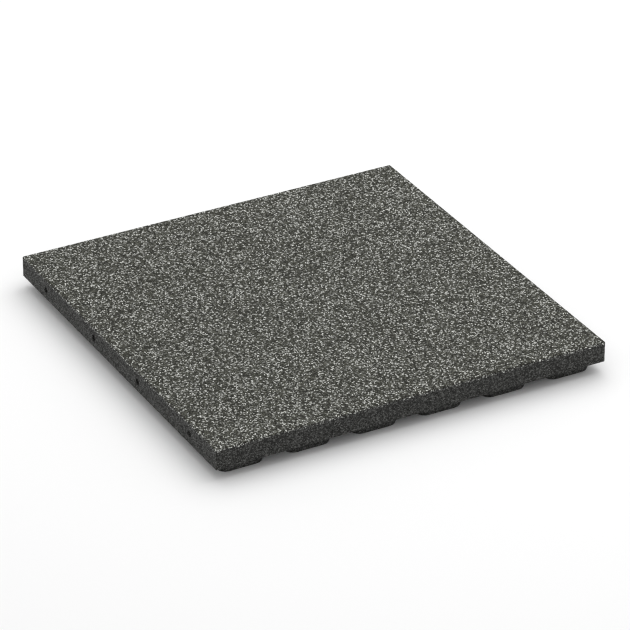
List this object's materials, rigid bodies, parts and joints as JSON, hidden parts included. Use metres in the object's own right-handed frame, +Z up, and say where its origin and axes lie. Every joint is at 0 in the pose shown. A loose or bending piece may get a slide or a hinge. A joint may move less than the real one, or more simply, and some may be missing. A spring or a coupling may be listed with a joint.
{
  "type": "rubber granule patio tile",
  "caption": "Square patio tile of bonded rubber granules on tapered drainage feet, with blind dowel holes in two opposite sides.",
  "frame": {"origin": "centre of the square that the feet stand on, at floor level", "axes": "+Z up out of the walked-on face, +X towards the right side, +Y towards the back; the dowel holes are in the sides at -X and +X"},
  "size_m": [0.5, 0.5, 0.04],
  "materials": {
    "bonded_rubber_granules": "matt, pressed granules, dark grey with light grey specks in the walked-on face"
  },
  "bodies": {
    "root": {"tile": "bonded_rubber_granules"}
  },
  "joints": []
}
